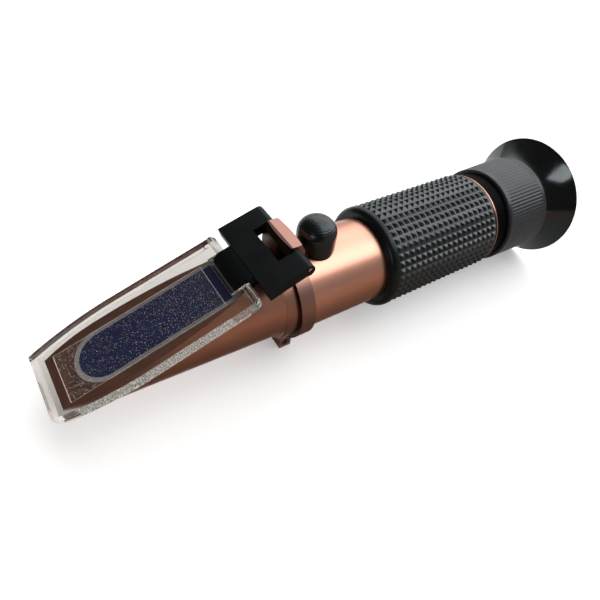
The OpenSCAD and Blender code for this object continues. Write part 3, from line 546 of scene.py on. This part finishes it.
def ringPiece():
    # Ring with fine ridges: the radius dips by a raised cosine round the axis, faded out at both ends of the
    # ridges, and falls by the square of the distance in the chamfers
    g = ring
    inner = np.array([[g["length"], g["neck"]], [g["flange"], g["neck"]], [g["flange"], g["bore"]],
                      [0, g["bore"]]])
    # Places of the profile's points: close together in the chamfers and where the ridges begin and end
    edges = np.array([0, 0.12, 0.3, g["chamferLength"]])
    steps = 0.25 * np.arange(1, 4)
    x = np.concatenate([edges, [0.9, g["ridgeStart"]], g["ridgeStart"] + steps, np.linspace(3.0, 14.1, 7),
                        g["ridgeEnd"] - steps[::-1], [g["ridgeEnd"], 16.3], g["length"] - edges[::-1]])
    base = g["frontRadius"] + (g["radius"] - g["frontRadius"]) * x / g["length"]
    edge = np.minimum(x, g["length"] - x)
    base = base - g["chamfer"] * (1 - np.clip(edge / g["chamferLength"], 0, 1)) ** 2
    fade = np.clip(np.minimum(x - g["ridgeStart"], g["ridgeEnd"] - x) / g["fade"], 0, 1)
    cols = g["ridges"] * g["cells"]
    wave = 0.5 - 0.5 * np.cos(2 * math.pi * np.arange(cols) / g["cells"])
    outer = base[:, None] - g["depth"] * fade[:, None] * wave[None, :]
    allX = g["front"] + np.concatenate([x, inner[:, 0]])
    allR = np.vstack([outer, np.repeat(inner[:, 1:], cols, axis=1)])
    quads = gridQuads(len(allX), cols, closedRows=True)[:, ::-1]
    return makePiece("focusRing", turned(allX, allR, cols), quads, ringPlastic, "ring", "ring_plastic",
                     sharp=50, replaced=("focus_ring",))


ringPiece()
print("focus ring made")

cup = {"front": 73.0355, "length": 9.1, "neck": 13.9, "radius": 20.0, "power": 1.35, "wall": 1.5,
       "inner": 12.5, "bead": 14.0, "seat": 1.98, "steps": 28, "sides": 160}


def cupPiece():
    # Flare whose radius grows with a power of the distance; the rim is rounded off within the wall
    g = cup
    t = np.linspace(0, 1, g["steps"])
    flare = g["neck"] + (g["radius"] - g["neck"]) * t ** g["power"]
    outer = np.stack([g["front"] + g["length"] * t, flare], 1)
    inner = np.stack([g["front"] + g["length"] * t, np.maximum(flare - g["wall"], g["inner"])], 1)[::-1]
    end, lip = outer[-1, 0], inner[0, 1]
    rim = np.array([[end - 0.05, g["radius"] - 0.01], [end, g["radius"] - 0.18], [end, lip + 0.25],
                    [end - 0.12, lip + 0.02]])
    seat = g["front"] - g["seat"]
    bead = [[seat, g["inner"]], [seat, g["bead"]], [g["front"] - 0.02, g["bead"]]]
    profile = np.vstack([bead, outer[:-1], rim, inner[1:]])
    return turnedPiece("eyeCup", profile, g["sides"], cupRubber, "ring", "cup_rubber", sharp=40,
                       replaced=("eyecup",))


eyeCup = cupPiece()
print("eyecup made")

cap = {"x": -10.0645, "radius": 5.3, "height": 8.8, "dome": 4.4, "barrel": 12.42, "bore": 3.86,
       "boreTop": 5.5, "foot": 0.5, "tipDrop": 0.02, "footRound": 0.1, "rings": 11, "ringDepth": 0.02,
       "steps": 97, "sides": 96}


def capPiece():
    # Rubber dome: a quarter of an ellipse with a slight ripple that dies out at its top and its foot, on a
    # straight wall. The wall's lower end is cut to the barrel's round surface and a round bore ends under it
    g = cap
    n = g["sides"]
    angle = np.linspace(0, 2 * math.pi, n, endpoint=False)
    topZ = g["barrel"] + g["height"] - g["tipDrop"]
    a = np.radians(np.linspace(89.8, 0, g["steps"]))
    waves = np.sin(2 * math.pi * g["rings"] * np.linspace(0, 1, len(a)))
    ripple = g["ringDepth"] * waves * np.sin(2 * a) ** 2
    r = (g["radius"] + ripple) * np.cos(a)
    z = topZ - g["dome"] + (g["dome"] + ripple) * np.sin(a)
    ringsR = np.repeat(r[:, None], n, 1)
    ringsZ = np.repeat(z[:, None], n, 1)

    def saddle(radius):
        # Height of the barrel's surface under a circle of this radius
        return np.sqrt(g["barrel"] ** 2 - (radius * np.sin(angle)) ** 2)

    foot = saddle(g["radius"])
    wallZ = [foot * k + z[-1] * (1 - k) for k in (0.35, 0.7, 0.9)]
    soleR = g["radius"] - g["foot"]
    belowR = [g["radius"]] * 3 + [g["radius"] - 0.08, soleR, g["bore"], g["bore"], 0.02]
    belowR = np.repeat(np.array(belowR)[:, None], n, 1)
    boreZ = np.full(n, g["barrel"] + g["boreTop"])
    belowZ = wallZ + [foot + g["footRound"], saddle(soleR), saddle(g["bore"]), boreZ, boreZ]
    allR, allZ = np.vstack([ringsR, belowR]), np.vstack([ringsZ, belowZ])
    points = np.stack([g["x"] + allR * np.cos(angle), allR * np.sin(angle), axisHeight + allZ], -1)
    points = points.reshape(-1, 3)
    quads = gridQuads(len(allR), n)[:, ::-1].tolist()
    last = (len(allR) - 1) * n
    quads += [list(range(n)), list(range(last + n - 1, last - 1, -1))]
    return makePiece("calibrationCap", points, quads, capRubber, "cap", "cap_rubber", sharp=40,
                     replaced=("calibration_cap",))


capPiece()
print("cap made")

# Bracket, collar and plate are the CAD shapes with rounded edges, by these widths
rounded = {"bracket": 0.35, "collar": 0.12, "plate": 0.9}
roundedCopy("plateBracket", "plate_bracket", rounded["bracket"], blackPlastic, "plate")
roundedCopy("hingeCollar", "hinge_collar", rounded["collar"], copperCollar, "root")

# Places on the clear plate that tell its edges and faces apart, up the slope (s), across (y) and over it (h)
plateMarks = {"frontS": -2.3, "cornerY": 9.1, "cornerHeight": 2, "topH": 3.05, "level": 0.02, "notchY": 9,
              "notchS": 5, "topShare": 0.22, "sideY": 9.2, "sideNormal": 0.75, "upright": 0.2, "stepH": 0.31,
              "belowH": -0.28, "middleY": 1, "padS": 1, "barS": 46.8, "barTilt": 0.985}


def plateEdges(first, last):
    # Which edges of the clear plate are rounded: the top outline a little, the two front corners more
    g = plateMarks
    s1, h1 = overFace(first)
    s2, h2 = overFace(last)
    y1, y2 = np.abs(first[:, 1]), np.abs(last[:, 1])
    front = (np.maximum(s1, s2) < g["frontS"]) & (y1 > g["cornerY"]) & (np.abs(h1 - h2) > g["cornerHeight"])
    outline = (np.minimum(h1, h2) > g["topH"]) & (np.abs(h1 - h2) < g["level"])
    inner = (np.maximum(y1, y2) < g["notchY"]) & (np.minimum(s1, s2) > g["notchS"])
    return np.where(front, 1.0, np.where(outline & ~inner, g["topShare"], 0.0))


plateMaterials = [clearAcrylic, frostedAcrylic, plateStep, padEdgeHighlight, farAcrylic, rodAcrylic]
plate = roundedCopy("daylightPlate", "daylight_plate", rounded["plate"], plateMaterials, "plate",
                    choose=plateEdges)


def dressSides(piece):
    # The long outer face on the -Y side is frosted and the one on the +Y side has a painted dark reflection;
    # the low faces below are steps, those at the pad's two ends painted highlight lines; the rear bars
    # painted reflection stripes
    g = plateMarks
    mesh = piece.data
    count = len(mesh.polygons)
    normals, centres = np.zeros(count * 3), np.zeros(count * 3)
    mesh.polygons.foreach_get("normal", normals)
    mesh.polygons.foreach_get("center", centres)
    normals, centres = normals.reshape(-1, 3), centres.reshape(-1, 3) / mm
    s, h = overFace(centres)
    y, side = centres[:, 1], normals[:, 1]
    tilt = normals @ np.array(faceUp)
    low = ((np.abs(tilt) < g["upright"]) & (h < g["stepH"])) | (h < g["belowH"])
    ends = low & (np.abs(side) < g["upright"]) & (np.abs(y) < g["middleY"]) & (s > g["padS"])
    index = np.where((side < -g["sideNormal"]) & (y < -g["sideY"]), plateMaterials.index(frostedAcrylic), 0)
    index = np.where((side > g["sideNormal"]) & (y > g["sideY"]), plateMaterials.index(farAcrylic), index)
    bars = (s > g["barS"]) & (np.abs(tilt) < g["barTilt"])
    index = np.where(bars, plateMaterials.index(rodAcrylic), index)
    index = np.where(low, plateMaterials.index(plateStep), index)
    index = np.where(ends, plateMaterials.index(padEdgeHighlight), index)
    mesh.polygons.foreach_set("material_index", index.astype(np.int32))
    print("plate faces by material:", np.bincount(index).tolist())


dressSides(plate)

# The pad below the plate: how far under its film the texture and the painted highlight outline lie and how
# thick they are
pad = {"start": 2.1, "length": 40.0, "halfWidth": 7.0, "film": 0.1, "inset": 0.05, "textureDrop": 0.02,
       "textureThick": 0.04, "lineDrop": 0.005, "lineThick": 0.01, "endLine": 0.12, "sideLine": 0.07,
       "gap": 0.02}
boxFaces = [[0, 2, 3, 1], [4, 5, 7, 6], [0, 1, 5, 4], [2, 6, 7, 3], [0, 4, 6, 2], [1, 3, 7, 5]]


def padBoxes(name, boxes, drop, thick, material):
    # Flat boxes just under the pad, each given by its two places up the slope and its two places across
    points, faces = [], []
    for low, high, left, right in boxes:
        s, y = np.array([low, low, high, high]), np.array([left, right, left, right])
        corner = 8 * len(points)
        top = pad["film"] - drop
        points.append(np.vstack([onFace(s, y, top), onFace(s, y, top - thick)]))
        faces += [[corner + k for k in quad] for quad in boxFaces]
    return makePiece(name, np.vstack(points), faces, material, "plate", "clear_acrylic")


padStart, padEnd, padSide = pad["start"], pad["start"] + pad["length"], pad["halfWidth"]
skin = [(padStart + pad["inset"], padEnd - pad["inset"], -padSide + pad["inset"], padSide - pad["inset"])]
padBoxes("padTexture", skin, pad["textureDrop"], pad["textureThick"], padTexture)

# The outline of painted highlight lines: the lines at the rear and front end, then the two sides between them
sideFrom, sideTo = padStart + pad["endLine"] + pad["gap"], padEnd - pad["endLine"] - pad["gap"]
outline = [(padEnd - pad["endLine"], padEnd, -padSide, padSide),
           (padStart, padStart + pad["endLine"], -padSide, padSide),
           (sideFrom, sideTo, -padSide, -padSide + pad["sideLine"]),
           (sideFrom, sideTo, padSide - pad["sideLine"], padSide)]
padBoxes("padFrame", outline, pad["lineDrop"], pad["lineThick"], padEdgeHighlight)
print("head pieces made")

# The soft light is a wide band over the object: 0 is the back horizon, 0.5 the zenith and 1 the front. It
# sets in towards the eyecup, between two parts of the direction along X
studio = {"floor": 0.93, "floorLift": 0.31, "otherLift": 0.0, "skyFrom": 0.0, "skyTo": 0.26, "skyLevel": 3.6,
          "room": (0.08, 0.077, 0.074), "reach": 6, "cardHeight": 0.0004,
          "skyBand": [(0.0, 0.07), (0.08, 0.25), (0.16, 0.5), (0.28, 0.68), (0.45, 0.64), (0.52, 0.8),
                      (0.6, 0.93), (0.72, 0.93), (0.76, 0.1), (1.0, 0.07)]}


def floorMaterial():
    # White floor that keeps the shadow; floorLift brightens it for the camera. otherLift does so for gloss
    # and glass, and is zero here, so they see the floor's own colour alone
    material, tree = newMaterial("paleFloor", (0.82, 0.82, 0.82))
    path = add(tree, "LightPath").outputs
    other = maths(tree, "MAXIMUM", path["Is Glossy Ray"], path["Is Transmission Ray"])
    other = maths(tree, "MULTIPLY", other, studio["otherLift"])
    lift = maths(tree, "MULTIPLY_ADD", path["Is Camera Ray"], studio["floorLift"], other)
    glow = add(tree, "Emission", Color=colour((1, 1, 1)), Strength=lift).outputs[0]
    ground = surface(tree, colour((studio["floor"],) * 3))
    output(tree, add(tree, "AddShader", i0=ground, i1=glow).outputs[0])
    return material


def flatMesh(name, low, high, height, material):
    # One level rectangle between two corners
    mesh = bpy.data.meshes.new(name)
    mesh.from_pydata([(low[0], low[1], height), (high[0], low[1], height), (high[0], high[1], height),
                      (low[0], high[1], height)], [], [(0, 1, 2, 3)])
    mesh.materials.append(material)
    sheet = bpy.data.objects.new(name, mesh)
    scene.collection.objects.link(sheet)
    return sheet


reach = studio["reach"]
flatMesh("floor", (-reach, -reach), (reach, reach), 0, floorMaterial())

world = bpy.data.worlds.new("studioWorld")
scene.world = world
world.use_nodes = True
world.node_tree.nodes.clear()
sky = world.node_tree
direction = add(sky, "SeparateXYZ", Vector=add(sky, "TexCoord").outputs["Generated"]).outputs
angle = maths(sky, "ARCTAN2", direction["Z"], direction["Y"])
levels = [(place, (level,) * 3) for place, level in studio["skyBand"]]
band = ramp(sky, maths(sky, "DIVIDE", angle, math.pi), levels)
share = add(sky, "MapRange", {"interpolation_type": "SMOOTHSTEP"}, i0=direction["X"], i1=studio["skyFrom"],
            i2=studio["skyTo"], i3=0.0, i4=studio["skyLevel"]).outputs[0]
lightBand = add(sky, "Background", Color=band, Strength=share).outputs[0]
room = add(sky, "Background", Color=colour(studio["room"])).outputs[0]
add(sky, "OutputWorld", Surface=add(sky, "AddShader", i0=lightBand, i1=room).outputs[0])


def lookAlong(position, target):
    # Rotation that turns an object's -Z from position towards target
    back = np.asarray(position, float) - np.asarray(target, float)
    back /= np.linalg.norm(back)
    side = np.cross((0, 0, 1), back)
    side /= np.linalg.norm(side)
    return Matrix(np.stack([side, np.cross(back, side), back], 1).tolist()).to_4x4()


def softLamp(name, aim, distance, width, height, power, lights=()):
    # Area lamp in the direction aim from the object's middle; lights, if any, are the only pieces it reaches
    centre = np.array([0.0, 0.0, 0.02])
    aim = np.asarray(aim, float) / np.linalg.norm(aim)
    data = bpy.data.lights.new(name, "AREA")
    data.shape, data.size, data.size_y, data.energy = "RECTANGLE", width, height, power
    lamp = bpy.data.objects.new(name, data)
    place = centre + aim * distance
    lamp.matrix_world = Matrix.Translation(place) @ lookAlong(place, centre)
    scene.collection.objects.link(lamp)
    if lights:
        reached = bpy.data.collections.new(name + "Pieces")
        for piece in lights:
            reached.objects.link(piece)
        lamp.light_linking.receiver_collection = reached


softLamp("frontLeftLamp", (-0.83, -0.48, 0.28), distance=0.8, width=0.25, height=0.2, power=0.6)
softLamp("windowLamp", (-0.33, -0.42, 0.84), distance=0.8, width=0.26, height=0.3, power=1.3, lights=[eyeCup])


def flatCard(name, low, high, rgb, fades=None):
    # A card just over the floor that only glossy surfaces see, as a studio lays one out of the picture;
    # between the two Y of fades it darkens towards the object, a painted shadow of the object on the floor as
    # glossy surfaces see it
    material, tree = newMaterial(name, rgb)
    level = remap(tree, onAxis(tree, "Y"), *fades, 1.0, 0.3) if fades else 1.0
    output(tree, add(tree, "Emission", Color=colour(rgb), Strength=level).outputs[0])
    card = flatMesh(name, low, high, studio["cardHeight"], material)
    for kind in ("camera", "diffuse", "transmission", "volume_scatter", "shadow"):
        setattr(card, "visible_" + kind, False)


warmCard = (0.46, 0.355, 0.285)
flatCard("frontCard", (-0.1, -0.9), (0.8, -0.07), warmCard)
# Its fade is a painted shadow of the object on the floor, seen only in reflections
flatCard("nearCard", (-0.1, -0.07), (0.055, -0.008), warmCard, fades=(-0.07, -0.015))
flatCard("rearCard", (0.055, -0.07), (0.8, -0.008), (0.36, 0.355, 0.34))
flatCard("leftCard", (-reach, -reach), (-0.1, reach), (0.05, 0.045, 0.04))

# The camera solved from the photo: its place in metres and its three directions
view = {"lens": 30.918, "sensor": 36.0, "nearest": 0.01, "furthest": 20.0,
        "place": (-0.0765445, -0.07854, 0.12114), "right": (0.8365, -0.5372, 0.1076),
        "up": (0.3368, 0.6592, 0.6724), "back": (-0.4322, -0.5262, 0.7324)}
cameraData = bpy.data.cameras.new("photoCamera")
cameraData.lens, cameraData.sensor_width = view["lens"], view["sensor"]
cameraData.clip_start, cameraData.clip_end = view["nearest"], view["furthest"]
camera = bpy.data.objects.new("photoCamera", cameraData)
turn = Matrix(np.stack([view["right"], view["up"], view["back"]], 1).tolist()).to_4x4()
camera.matrix_world = Matrix.Translation(view["place"]) @ turn
scene.collection.objects.link(camera)
scene.camera = camera
scene.view_settings.view_transform = "Standard"
print("studio made")
